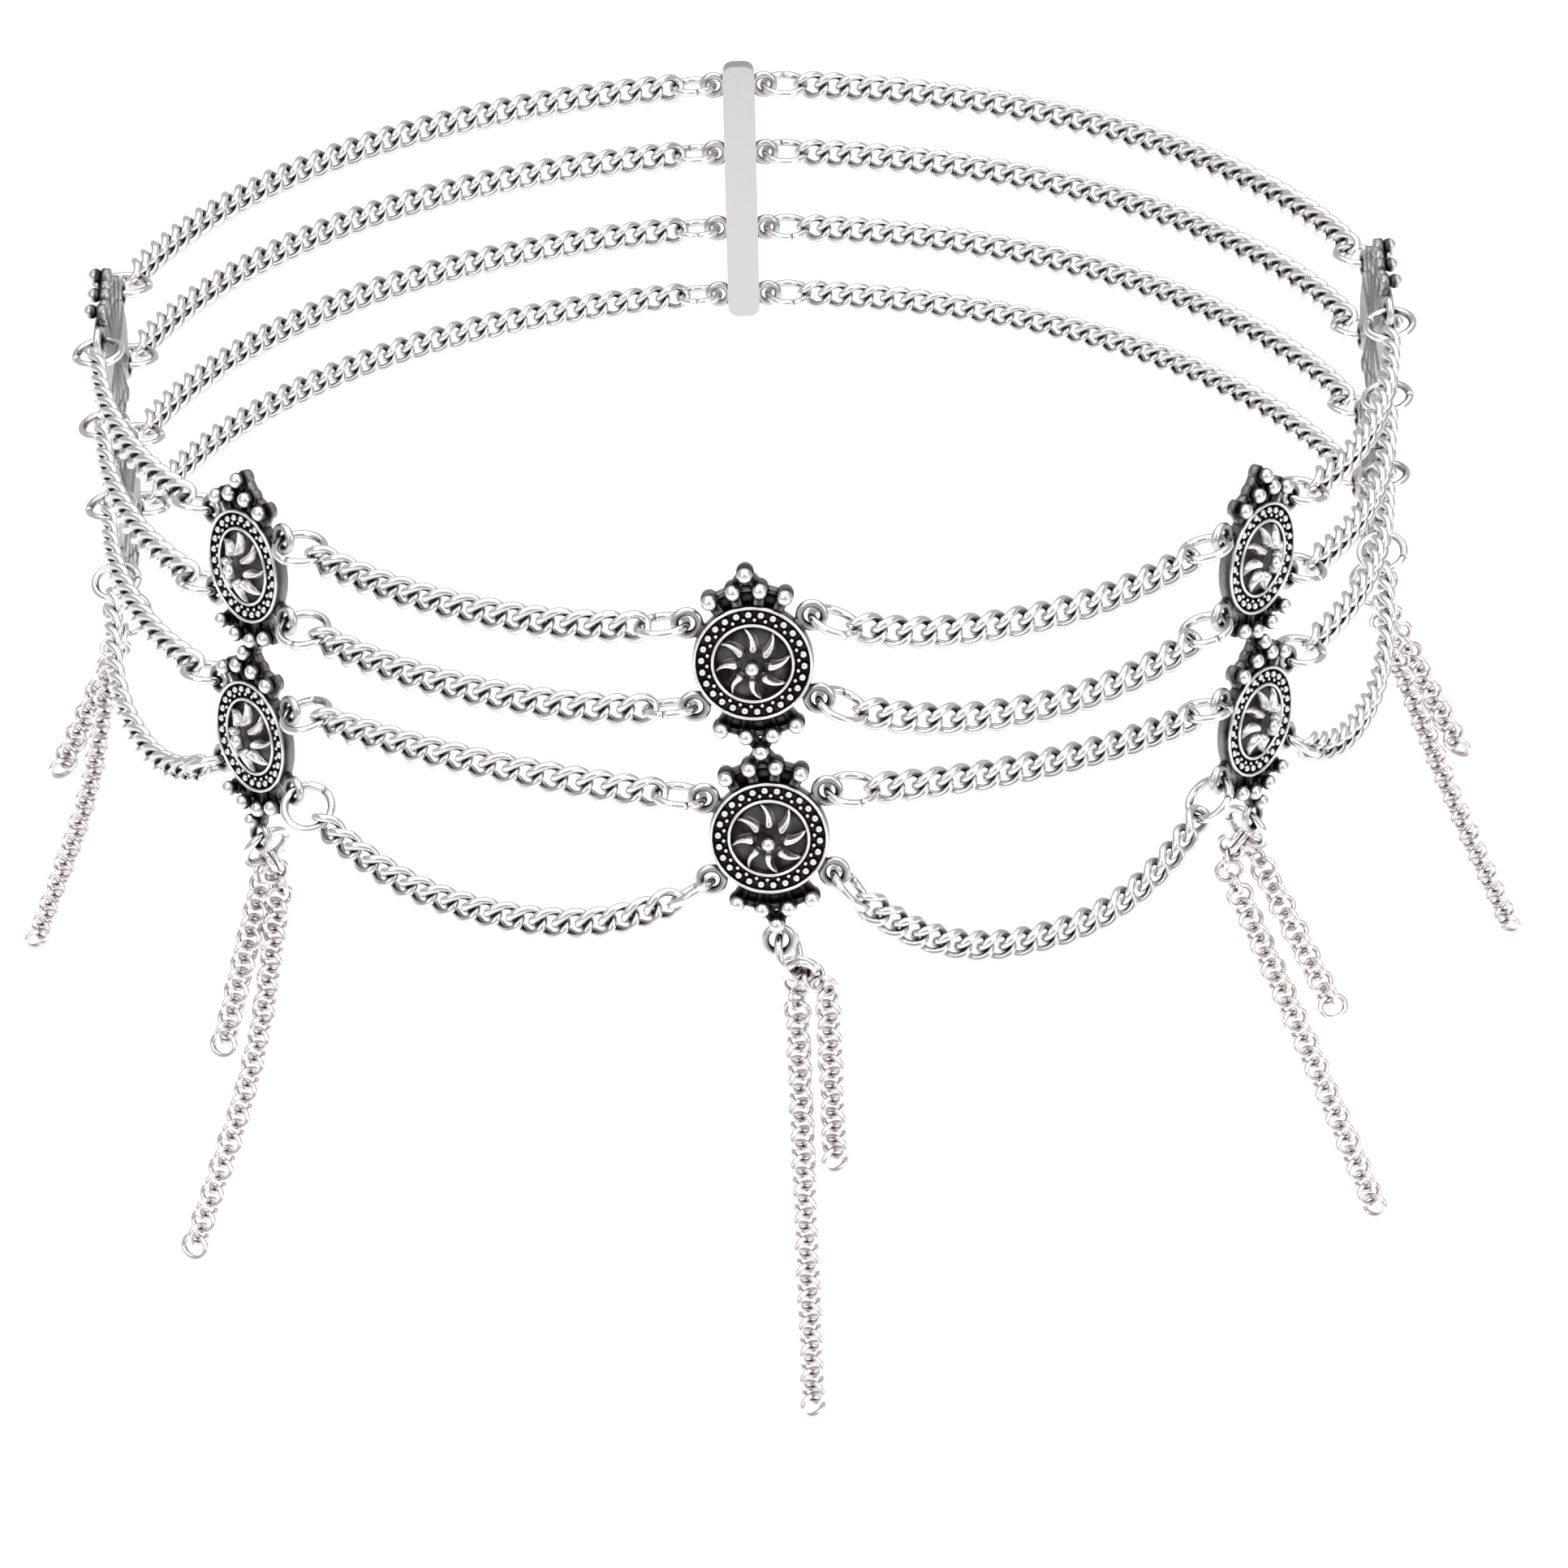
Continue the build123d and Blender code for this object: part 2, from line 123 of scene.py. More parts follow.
# Medallions: angle from the front towards +X, swing of the face from that angle, lean
# of the top towards the neck, roll of the top towards -X, lift, and reach from the axis
Medallion = namedtuple("Medallion", "name angle swing lean roll lift reach")
MEDALLIONS = (
    Medallion("side_left", -95.5, 0.0, 0.0, 0.0, 0.0, 58.2),
    Medallion("left", -48.4, -1.9, 6.0, 5.7, -0.1, 57.0),
    Medallion("center", 0.6, -3.7, 8.1, 4.1, -0.1, 57.0),
    Medallion("right", 49.2, 1.9, 2.2, -1.9, -1.6, 57.0),
    Medallion("side_right", 95.5, 0.0, 0.0, 0.0, 0.0, 58.2),
)

# Tassels: how the ring hangs from the eye (tuck towards the neck, drift along the
# loop, turn about its own hang), the side of the short leg, and the way from the
# ring's far side to the long leg's knee, its end and the short leg's end
Hang = namedtuple("Hang", "length flare drift")
Tassel = namedtuple("Tassel", "name tuck drift turn short_side knee long_end short_end")
TASSELS = (
    Tassel(
        "side_left", -20.0, 15.0, -10.0, -1,
        Hang(17.4, 13.5, 0.0), Hang(36.6, 18.0, 0.0), Hang(17.2, 25.2, 0.0),
    ),
    Tassel(
        "left", 28.0, -21.0, 15.0, -1,
        Hang(19.9, 8.5, 0.0), Hang(38.5, 17.9, 0.0), Hang(18.8, 21.3, 0.0),
    ),
    Tassel(
        "center", 20.0, 24.0, 10.0, 1,
        Hang(21.2, 11.0, 0.1), Hang(41.5, 11.0, 0.5), Hang(18.8, 11.0, 8.3),
    ),
    Tassel(
        "right", 30.0, 19.0, -5.0, 1,
        Hang(19.1, 21.6, 0.0), Hang(37.0, 25.4, 0.0), Hang(18.0, 36.6, 0.0),
    ),
    Tassel(
        "side_right", -20.0, -15.0, 10.0, 1,
        Hang(21.5, 19.2, 0.0), Hang(40.0, 21.1, 0.0), Hang(19.0, 26.8, 0.0),
    ),
)

# Levels of the four strands: disc (+1 upper, -1 lower), loop above or below its middle
Level = namedtuple("Level", "number disc row")
LEVELS = (
    Level(1, 1, 1),
    Level(2, 1, -1),
    Level(3, -1, 1),
    Level(4, -1, -1),
)

# Stretches of the strands: medallions at the ends, then for the four strands the sag,
# its skew towards the start (+) or the end (-), the bulge from the neck, and the tilt
# of the jump rings at the two ends
Stretch = namedtuple("Stretch", "name start end sags skews bulges start_tilts end_tilts")
STRETCHES = (
    Stretch(
        "side_left", "side_left", "left",
        (0.8, 0.6, 0.8, 5.6), (0.0, 0.0, 0.0, -0.35), (0.3, 0.3, 0.3, 1.0),
        (-8, -8, -8, -8), (12, 10, 8, 15),
    ),
    Stretch(
        "front_left", "left", "center",
        (0.98, 0.87, -1.06, 5.24), (-0.22, -0.33, 0.4, -0.19), (0.3, 0.3, 0.3, 1.0),
        (-6, -12, -16, -30), (6, 14, 7, 18),
    ),
    Stretch(
        "front_right", "center", "right",
        (2.3, 3.06, 0.0, 8.47), (0.38, 0.14, 0.0, 0.22), (0.3, 0.3, 0.3, 1.4),
        (-2, -8, -6, -4), (12, 6, 10, 10),
    ),
    Stretch(
        "side_right", "right", "side_right",
        (1.5, 1.5, 0.5, 5.6), (0.0, 0.0, 0.0, 0.35), (0.3, 0.3, 0.3, 1.0),
        (-8, -12, -8, -15), (8, 8, 8, 8),
    ),
    Stretch(
        "back_right", "side_right", "clasp",
        (0.5, 0.5, 0.5, 0.5), (0.0, 0.0, 0.0, 0.0), (0.0, 0.0, 0.0, 0.0),
        (-5, -5, -5, -5), (5, 5, 5, 5),
    ),
    Stretch(
        "back_left", "clasp", "side_left",
        (0.5, 0.5, 0.5, 0.5), (0.0, 0.0, 0.0, 0.0), (0.0, 0.0, 0.0, 0.0),
        (-5, -5, -5, -5), (5, 5, 5, 5),
    ),
)


# Vectors and frames: a frame is a 4 by 4 matrix with its x, y, z and origin as columns

def vec(x, y, z=0.0):
    return np.array([x, y, z], float)


def unit(v):
    return v / np.linalg.norm(v)


UP = vec(0, 0, 1)


def outward(angle):
    """Direction from the neck's axis to a place on the loop."""
    turn = math.radians(angle)
    return vec(math.sin(turn), -math.cos(turn))


def along(angle):
    """Direction of increasing angle at a place on the loop."""
    turn = math.radians(angle)
    return vec(math.cos(turn), math.sin(turn))


def placed(origin, x_dir, z_dir):
    """Frame with its origin, x along x_dir and z near z_dir."""
    x = unit(x_dir)
    z = unit(z_dir - x * np.dot(z_dir, x))
    matrix = np.eye(4)
    matrix[:3, 0] = x
    matrix[:3, 1] = np.cross(z, x)
    matrix[:3, 2] = z
    matrix[:3, 3] = origin
    return matrix


def turned(axis, angle):
    """Rotation about the x, y or z axis (0, 1 or 2)."""
    turn = math.radians(angle)
    c, s = math.cos(turn), math.sin(turn)
    first, second = (axis + 1) % 3, (axis + 2) % 3
    matrix = np.eye(4)
    matrix[first, first] = matrix[second, second] = c
    matrix[first, second] = -s
    matrix[second, first] = s
    return matrix


def moved(x, y, z=0.0):
    matrix = np.eye(4)
    matrix[:3, 3] = (x, y, z)
    return matrix


def scaled(size):
    matrix = np.eye(4)
    matrix[:3, :3] *= size
    return matrix


def to_world(matrix, point):
    return matrix[:3, :3] @ point + matrix[:3, 3]


def medallion_frame(row):
    """Frame of a medallion: x to its right seen from outside, y up, z outwards."""
    lean, roll = math.radians(row.lean), math.radians(row.roll)
    facing = outward(row.angle + row.swing)
    side = along(row.angle + row.swing)
    rise = UP * math.cos(lean) - facing * math.sin(lean)
    front = facing * math.cos(lean) + UP * math.sin(lean)
    rolled_side = side * math.cos(roll) + rise * math.sin(roll)
    origin = outward(row.angle) * row.reach + UP * row.lift
    return placed(origin, rolled_side, front)


def polar(reach, angle):
    """Point in a disc's plane, at an angle from its upright axis towards +x."""
    turn = math.radians(angle)
    return vec(reach * math.sin(turn), reach * math.cos(turn))


def loop_place(level, side):
    """Centre of a medallion's side loop, in the medallion's plane."""
    across = loop_reach * math.sin(math.radians(loop_angle))
    rise = loop_reach * math.cos(math.radians(loop_angle))
    return vec(side * across, level.disc * disc_spacing / 2 + level.row * rise)


def eye_place():
    """Centre of the bottom eye that holds the tassel's ring."""
    return vec(0, -disc_spacing - eye_drop)


# Meshes

class Shell:
    """Points, faces and an oxide value per point, gathered before a mesh is made."""

    def __init__(self):
        self.points = []
        self.faces = []
        self.oxide = []
        self.count = 0

    def add(self, points, faces, oxide=0.0):
        points = np.asarray(points, float).reshape(-1, 3)
        self.points.append(points)
        self.faces.append(np.asarray(faces, int) + self.count)
        self.oxide.append(np.broadcast_to(oxide, (len(points),)).astype(float))
        self.count += len(points)

    def cap(self, corners):
        """One flat face over points that are there already."""
        self.faces.append(np.asarray(corners)[None, :])

    def copy_of(self, other, matrix):
        """Adds another shell, moved by a frame."""
        for points, oxide in zip(other.points, other.oxide):
            self.points.append(points @ matrix[:3, :3].T + matrix[:3, 3])
            self.oxide.append(oxide)
        for faces in other.faces:
            self.faces.append(faces + self.count)
        self.count += other.count

    def mesh(self, name):
        points = np.concatenate(self.points) * MM
        sizes = np.concatenate([np.full(len(f), f.shape[1]) for f in self.faces])
        corners = np.concatenate([f.ravel() for f in self.faces])
        me = bpy.data.meshes.new(name)
        me.vertices.add(len(points))
        me.vertices.foreach_set("co", points.ravel())
        me.loops.add(len(corners))
        me.loops.foreach_set("vertex_index", corners)
        me.polygons.add(len(sizes))
        me.polygons.foreach_set("loop_start", np.cumsum(sizes) - sizes)
        me.update(calc_edges=True)
        me.validate()
        layer = me.attributes.new("oxide", "FLOAT", "POINT")
        layer.data.foreach_set("value", np.concatenate(self.oxide))
        me.shade_smooth()
        return me


def ring_faces(rows, sides, closed):
    """Quads between successive rows of a tube's points."""
    last = rows if closed else rows - 1
    i = np.arange(last)[:, None]
    j = np.arange(sides)[None, :]
    a = i * sides + j
    b = i * sides + (j + 1) % sides
    c = ((i + 1) % rows) * sides + (j + 1) % sides
    d = ((i + 1) % rows) * sides + j
    return np.stack([a, b, c, d], -1).reshape(-1, 4)


def even_turns(count):
    """Angles in radians, evenly round a circle."""
    return np.arange(count) * 2 * math.pi / count


def tube(path, out, radius, sides, closed):
    """Tube round a path, with out the direction of each row's first point."""
    path = np.asarray(path, float)
    if closed:
        way = np.roll(path, -1, 0) - np.roll(path, 1, 0)
    else:
        way = np.gradient(path, axis=0)
    way /= np.linalg.norm(way, axis=1)[:, None]
    out = out - way * (out * way).sum(1)[:, None]
    out /= np.linalg.norm(out, axis=1)[:, None]
    across = np.cross(way, out)
    turn = even_turns(sides)
    points = path[:, None] + radius * (
        np.cos(turn)[None, :, None] * out[:, None]
        + np.sin(turn)[None, :, None] * across[:, None]
    )
    # The inner side of a bent wire holds more oxide than its outer side
    inner = np.broadcast_to(((1 - np.cos(turn)) / 2)[None, :], points.shape[:2])
    shell = Shell()
    shell.add(points, ring_faces(len(path), sides, closed), inner.ravel())
    if not closed:
        shell.cap(np.arange(sides)[::-1])
        shell.cap((len(path) - 1) * sides + np.arange(sides))
    return shell


def torus(radius, wire, rows, sides, seam=0.0, seam_at=0.0):
    """Round ring in its own xy plane, with a cut seam if one is given."""
    if seam:
        last = seam_at + full_turn - seam / 2
        turn = np.radians(np.linspace(seam_at + seam / 2, last, rows + 1))
    else:
        turn = even_turns(rows)
    spoke = np.stack([np.cos(turn), np.sin(turn), np.zeros_like(turn)], 1)
    return tube(spoke * radius, spoke, wire / 2, sides, not seam)


# A ball's oxide: its value on the middle's level, and how fast it falls towards the top
ball_oxide_middle = 0.75
ball_oxide_fall = 1.5


def ball(radius, rows, sides, lowest, oxide_edge):
    """Sphere, cut flat at a share of its radius below the middle, darker lower down."""
    angles = np.linspace(math.asin(lowest), math.pi / 2, rows + 1)[:-1]
    turn = even_turns(sides)
    points = np.stack(
        [
            np.outer(np.cos(angles), np.cos(turn)),
            np.outer(np.cos(angles), np.sin(turn)),
            np.repeat(np.sin(angles)[:, None], sides, 1),
        ],
        -1,
    ) * radius
    rise = points[..., 2].ravel() / radius
    oxide = np.clip(ball_oxide_middle - ball_oxide_fall * rise, 0, 1) * oxide_edge
    shell = Shell()
    shell.add(points, ring_faces(rows, sides, False), oxide)
    top = shell.count
    shell.add([[0, 0, radius]], np.empty((0, 3), int))
    j = np.arange(sides)
    base = (rows - 1) * sides
    shell.faces.append(np.stack([base + j, base + (j + 1) % sides, np.full(sides, top)], 1))
    shell.cap(j[::-1])
    return shell


def finish_piece(name, mesh, material, replaced):
    """Object of a mesh that rides the frame and stands for its solid."""
    piece = bpy.data.objects.new(name, mesh)
    bpy.context.scene.collection.objects.link(piece)
    mesh.materials.append(material)
    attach(piece, "root")
    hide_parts(replaced)


# Links: ovals of eight arcs

def arc_points(start, way, end, steps):
    """Points of the arc from start to end that leaves start along way, without its end."""
    chord = end - start
    side = unit(chord - way * np.dot(chord, way))
    turn = 2 * math.atan2(np.dot(chord, side), np.dot(chord, way))
    radius = np.linalg.norm(chord) / (2 * math.sin(turn / 2))
    angles = np.arange(steps) * turn / steps
    return [start + radius * (math.sin(a) * way + (1 - math.cos(a)) * side) for a in angles]


def link_shell(half_length, width, wire, twist, slope, steps, sides):
    """Twisted oval link: wire swept round eight arcs, tangent to each other."""
    twist, slope = math.radians(twist), math.radians(slope)
    tip = vec(half_length, 0)
    flank = vec(0, (width - wire) / 2)
    tip_way = vec(0, math.cos(twist), -math.sin(twist))
    flank_way = vec(-math.cos(slope), 0, math.sin(slope))
    span = flank - tip
    ways = tip_way + flank_way
    spread = 4 - np.dot(ways, ways)
    lean = np.dot(span, ways)
    reach = (-lean + math.sqrt(lean**2 + spread * np.dot(span, span))) / spread
    joint = (tip + tip_way * reach + flank - flank_way * reach) / 2
    joint_way = unit(flank - flank_way * reach - tip - tip_way * reach)
    quarter = np.array(
        arc_points(tip, tip_way, joint, steps)
        + arc_points(joint, joint_way, flank, steps)
        + [flank]
    )
    second = (quarter * (-1, 1, -1))[::-1]
    half = np.concatenate([quarter[:-1], second[:-1]])
    line = np.concatenate([half, half * (-1, -1, 1)])
    return tube(line, line.copy(), wire / 2, sides, True)


# Strand routes

def anchor_point(name, level, side):
    """Centre of the loop or eye that a strand's end is hooked to."""
    if name == "clasp":
        height = loop_place(level, side)[1]
        nape = outward(back_angle)
        matrix = placed(nape * strand_radius, along(back_angle), nape)
        return to_world(matrix, vec(side * clasp_eye_reach, height))
    row = next(item for item in MEDALLIONS if item.name == name)
    return to_world(medallion_frame(row), loop_place(level, side))


def strand_route(stretch, level):
    """Points of a strand's centre line from loop to loop, with their arc lengths."""
    start = anchor_point(stretch.start, level, 1)
    end = anchor_point(stretch.end, level, -1)
    start_angle = math.degrees(math.atan2(start[0], -start[1]))
    end_angle = math.degrees(math.atan2(end[0], -end[1]))
    while end_angle < start_angle:
        end_angle += full_turn
    start_reach = math.hypot(start[0], start[1])
    end_reach = math.hypot(end[0], end[1])
    sag = stretch.sags[level.number - 1]
    skew = stretch.skews[level.number - 1]
    bulge = stretch.bulges[level.number - 1]
    share = np.linspace(0, 1, path_steps + 1)
    skewed = share + skew * share * (1 - share)
    drop = 1 - np.abs(2 * skewed - 1) ** sag_power
    angle = np.radians(start_angle + (end_angle - start_angle) * share)
    reach = start_reach + (end_reach - start_reach) * share + bulge * drop
    height = start[2] + (end[2] - start[2]) * share - sag * drop
    points = np.stack([np.sin(angle) * reach, -np.cos(angle) * reach, height], 1)
    return points, run_lengths(points)


def run_lengths(points):
    """Length of a route from its start to each of its points."""
    steps = np.linalg.norm(np.diff(points, axis=0), axis=1)
    return np.concatenate([[0.0], np.cumsum(steps)])


def on_route(route, length):
    """Point and direction at a length along a route."""
    points, lengths = route
    index = int(np.clip(np.searchsorted(lengths, length), 1, len(lengths) - 1))
    before, after = points[index - 1], points[index]
    share = (length - lengths[index - 1]) / (lengths[index] - lengths[index - 1])
    return before + (after - before) * share, unit(after - before)


def station(route, length):
    """Frame on a strand: x along it, z outwards from the neck."""
    point, way = on_route(route, length)
    angle = math.degrees(math.atan2(point[0], -point[1]))
    return placed(point, way, outward(angle))


# Strand links: where they sit is as in the solids, and their body is fuller
link_half_length = (link_pitch + link_wire + link_clearance) / 2
hooked_reach = jump_ring_radius - (jump_ring_wire + link_wire) / 2 - ring_clearance
first_link_reach = jump_ring_radius + hooked_reach + link_half_length
link_body_wire = 0.73
link_body_width = 2.95
link_body_slack = 0.08
link_body_twist = 60.0
link_body_slope = 40.0
link_turn_spread = 2.0
link_sides = 10
link_arc_steps = 4


def strand_mesh(stretch, level, link):
    """All the links of one strand, evenly spaced, each turned a little at random."""
    route = strand_route(stretch, level)
    free_length = route[1][-1] - 2 * first_link_reach
    gaps = math.ceil(free_length / link_pitch)
    shell = Shell()
    for index in range(gaps + 1):
        place = station(route, first_link_reach + index * free_length / gaps)
        turn = turned(0, draw.uniform(-link_turn_spread, link_turn_spread))
        shell.copy_of(link, place @ turn)
    return shell.mesh(f"links_{level.number}_{stretch.name}")


# Jump rings
ring_body_wire = 0.75
ring_rows = 44
ring_sides = 12
ring_seam = 2.4
seam_angle = 90.0
seam_spread = 25.0


def strand_ring_frame(stretch, level, at_end):
    """Frame of the jump ring at one end of a strand, tilted about the strand's line."""
    route = strand_route(stretch, level)
    tilts = stretch.end_tilts if at_end else stretch.start_tilts
    length = route[1][-1] - jump_ring_radius if at_end else jump_ring_radius
    return station(route, length) @ turned(0, quarter_turn - tilts[level.number - 1])


def hang_way(angle, flare, drift):
    """Direction that hangs down, flared from the neck and drifted along the loop."""
    tilt = math.radians(flare)
    down = outward(angle) * math.sin(tilt) - UP * math.cos(tilt)
    return unit(down + along(angle) * math.tan(math.radians(drift)))


def tassel_frame(row, tassel):
    """Frame of a tassel's ring: x from the eye to the ring's far side, z its axis."""
    eye = to_world(medallion_frame(row), eye_place())
    down = hang_way(row.angle, -tassel.tuck, tassel.drift)
    hung = placed(eye, down, along(row.angle)) @ turned(0, tassel.turn)
    return hung @ moved(jump_ring_radius, 0)


def rings_mesh(name):
    """All jump rings hooked to one medallion or to the clasp."""
    frames = []
    for stretch in STRETCHES:
        for level in LEVELS:
            if stretch.start == name:
                frames.append(strand_ring_frame(stretch, level, False))
            if stretch.end == name:
                frames.append(strand_ring_frame(stretch, level, True))
    for row, tassel in zip(MEDALLIONS, TASSELS):
        if row.name == name:
            frames.append(tassel_frame(row, tassel))
    shell = Shell()
    for matrix in frames:
        seam_at = seam_angle * draw.choice((-1, 1)) + draw.uniform(-seam_spread, seam_spread)
        ring = torus(
            jump_ring_radius, ring_body_wire, ring_rows, ring_sides, ring_seam, seam_at
        )
        shell.copy_of(ring, matrix)
    return shell.mesh(f"rings_{name}")


# Tassels: round links, turned by tassel_cross one way and the other from a viewing line
# that comes from tassel_face
tassel_wire = 0.5
tassel_pitch = 1.25
tassel_link_width = 2.8
tassel_slack = 0.04
tassel_half_length = (tassel_pitch + tassel_wire + tassel_slack) / 2
tassel_cross = 41.0
tassel_face = 0.0
tassel_turn_spread = 4.0
tassel_end_scale = 1.1
tassel_arc_steps = 3
tassel_sides = 9

# The first link of each leg hangs on the ring beside the other leg's, square across
# the ring's wire, and the next links ease from its turn to the crossing one
tassel_top_scale = 1.15
tassel_top_half = tassel_half_length * tassel_top_scale
tassel_ring_gap = 0.57
tassel_easing = 6
tassel_shoulder = 2.6
tassel_shoulder_gap = 1.5
corner_trim_share = 0.45
corner_steps = 10


def rounded(points):
    """Polyline with each inner corner rounded by a tangent arc."""
    made = [points[0]]
    for before, corner, after in zip(points, points[1:], points[2:]):
        to_before, to_after = before - corner, after - corner
        trim = corner_trim_share * min(np.linalg.norm(to_before), np.linalg.norm(to_after))
        start = corner + unit(to_before) * trim
        end = corner + unit(to_after) * trim
        made += arc_points(start, -unit(to_before), end, corner_steps) + [end]
    made.append(points[-1])
    return np.array(made)


def tassel_legs(row, tassel):
    """Routes of the long and the short leg, and the way the ring's wire runs there."""
    ring = tassel_frame(row, tassel)
    down, axis = ring[:3, 0], ring[:3, 2]
    side = axis * tassel.short_side
    wire_way = np.cross(down, side)
    hub = to_world(ring, vec(jump_ring_radius, 0))
    top_wire = tassel_wire * tassel_top_scale
    hooked = tassel_top_half - (ring_body_wire + top_wire) / 2 - tassel_slack
    legs = []
    for toward, hangs in ((-1, (tassel.knee, tassel.long_end)), (1, (tassel.short_end,))):
        ends = [hub + hang_way(row.angle, h.flare, h.drift) * h.length for h in hangs]
        shift = wire_way * toward * tassel_ring_gap / 2
        points = [
            hub + down * hooked + shift,
            hub + side * toward * tassel_shoulder_gap + down * tassel_shoulder + shift,
            *ends,
        ]
        path = rounded(points)
        legs.append((path, run_lengths(path)))
    return legs, wire_way


def first_swing(way, front, wire_way):
    """Turn that sets a leg's first link square across the ring's wire."""
    place = placed(vec(0, 0), way, front)
    across = -np.dot(wire_way, place[:3, 1])
    angle = math.degrees(math.atan2(across, np.dot(wire_way, place[:3, 2])))
    return (angle - tassel_cross + quarter_turn) % half_turn - quarter_turn


def tassel_mesh(row, tassel, link):
    """Links of the long and the short leg, each hooked on the ring by its first link."""
    legs, wire_way = tassel_legs(row, tassel)
    front = outward(tassel_face)
    lead = tassel_top_half - tassel_half_length
    shell = Shell()
    for route in legs:
        total = route[1][-1] - tassel_half_length - lead
        gaps = round(total / tassel_pitch)
        swing = first_swing(on_route(route, 0.0)[1], front, wire_way)
        for index in range(gaps + 1):
            length = index * total / gaps + (lead if index else 0.0)
            point, way = on_route(route, length)
            easing = max(0.0, 1 - index / tassel_easing)
            spread = draw.uniform(-tassel_turn_spread, tassel_turn_spread) * (1 - easing)
            turn = turned(0, tassel_cross * (-1) ** index + swing * easing + spread)
            size = {0: tassel_top_scale, gaps: tassel_end_scale}.get(index, 1.0)
            shell.copy_of(link, placed(point, way, front) @ turn @ scaled(size))
    return shell.mesh(f"tassel_links_{row.name}")


# Pinwheel petals: commas round the hub
petal_count = 8
petal_head_reach = 1.5
petal_tip_reach = 3.15
petal_head_radius = 0.43
petal_tip_radius = 0.02
petal_taper = 0.75
petal_sweep = 15.0
petal_bow = 0.25
petal_phase = -6.0
petal_hub_height = 1.7
petal_rim_height = 0.86
petal_fullness = 1.2
petal_steps = 28

# Relief of a disc: points round it, its innermost row, rows across each part, the round
# of its ridges, the share of their half width that counts as theirs (a hair beyond 1, so
# that rounding leaves no edge row out), and the width of the field's slope
relief_turns = 240
hub_reach = 0.25
field_rows = 34
ridge_rows = 7
channel_rows = 10
row_gap = 0.02
ridge_round = 0.22
ridge_share = 1.0001
field_run = 2.6

# Oxide in the hollows, and how fast it goes towards a crest
field_oxide = 1.0
channel_oxide = 1.0
plate_oxide = 1.0
wall_oxide = 0.95
bar_oxide = 0.9
back_oxide = 0.45
loop_oxide = 0.12
petal_oxide_fall = 2.2
ridge_oxide_fall = 2.4


def petal_spine():
    """Points, half widths and shares along a comma petal's middle line."""
    head = vec(petal_head_reach, 0)[:2]
    turn = math.radians(petal_sweep)
    tip = petal_tip_reach * np.array([math.cos(turn), math.sin(turn)])
    run = unit(tip - head)
    aside = np.array([run[1], -run[0]])
    share = np.linspace(0, 1, petal_steps)
    points = head + (tip - head) * share[:, None]
    points = points + aside * (4 * petal_bow * share * (1 - share))[:, None]
    widths = petal_head_radius * (1 - share) ** petal_taper + petal_tip_radius
    return points, widths, share


def raise_petals(reach, turn, height, oxide):
    """Height and oxide with the petals raised from the field."""
    spot = np.stack([reach * np.cos(turn), reach * np.sin(turn)], -1)
    spine, widths, share = petal_spine()
    for index in range(petal_count):
        spin = 2 * math.pi * index / petal_count + math.radians(petal_phase)
        c, s = math.cos(spin), math.sin(spin)
        line = spine @ np.array([[c, s], [-s, c]])
        near = np.linalg.norm(spot[..., None, :] - line, axis=-1) / widths
        best = near.argmin(-1)
        close = np.take_along_axis(near, best[..., None], -1)[..., 0]
        crest = petal_hub_height + (petal_rim_height - petal_hub_height) * share[best]
        full = np.sqrt(np.clip(1 - close**2, 0, 1))
        rise = (crest - height) * np.clip(petal_fullness * full**2, 0, 1)
        inside = close < 1
        height = np.where(inside, height + rise, height)
        oxide = np.where(inside, np.clip(1 - petal_oxide_fall * full, 0, 1), oxide)
    return height, oxide


def raise_ridges(reach, height, oxide):
    """Height and oxide with the rim and the inner ring raised beside their channel."""
    channel = (reach > inner_ring_radius) & (reach < disc_radius - ridge_width)
    height = np.where(channel, channel_floor, height)
    oxide = np.where(channel, channel_oxide, oxide)
    for outer in (disc_radius, inner_ring_radius):
        middle = outer - ridge_width / 2
        across = (reach - middle) / (ridge_width / 2)
        on = np.abs(across) <= ridge_share
        crown = np.sqrt(np.clip(1 - across**2, 0, 1))
        height = np.where(on, ridge_height - ridge_round * (1 - crown), height)
        oxide = np.where(on, np.clip(1 - ridge_oxide_fall * crown, 0, 1), oxide)
    return height, oxide


def relief_shell():
    """Disc with its rim, grain channel, inner ring, pinwheel and side wall."""
    field_edge = inner_ring_radius - ridge_width
    channel_edge = disc_radius - ridge_width
    reaches = np.concatenate([
        np.linspace(hub_reach, field_edge - row_gap, field_rows),
        np.linspace(field_edge, inner_ring_radius, ridge_rows),
        np.linspace(inner_ring_radius + row_gap, channel_edge - row_gap, channel_rows),
        np.linspace(channel_edge, disc_radius, ridge_rows),
    ])
    turns = even_turns(relief_turns)
    reach, turn = np.meshgrid(reaches, turns, indexing="ij")
    slope = np.clip((field_edge - reach) / field_run, 0, 1)
    height = field_floor + (field_peak - field_floor) * slope
    oxide = np.full(reach.shape, field_oxide)
    height, oxide = raise_petals(reach, turn, height, oxide)
    height, oxide = raise_ridges(reach, height, oxide)
    wall = ((plate_thickness / 2, wall_oxide), (-plate_thickness / 2, back_oxide))
    for level, value in wall:
        reach = np.concatenate([reach, np.full((1, relief_turns), disc_radius)])
        height = np.concatenate([height, np.full((1, relief_turns), level)])
        oxide = np.concatenate([oxide, np.full((1, relief_turns), value)])
    points = np.stack([reach * np.cos(turns), reach * np.sin(turns), height], -1)
    shell = Shell()
    faces = ring_faces(len(reach), relief_turns, False)[:, ::-1]
    shell.add(points, faces, oxide.ravel())
    shell.cap(np.arange(relief_turns))
    last = (len(reach) - 1) * relief_turns
    shell.cap((last + np.arange(relief_turns))[::-1])
    return shell


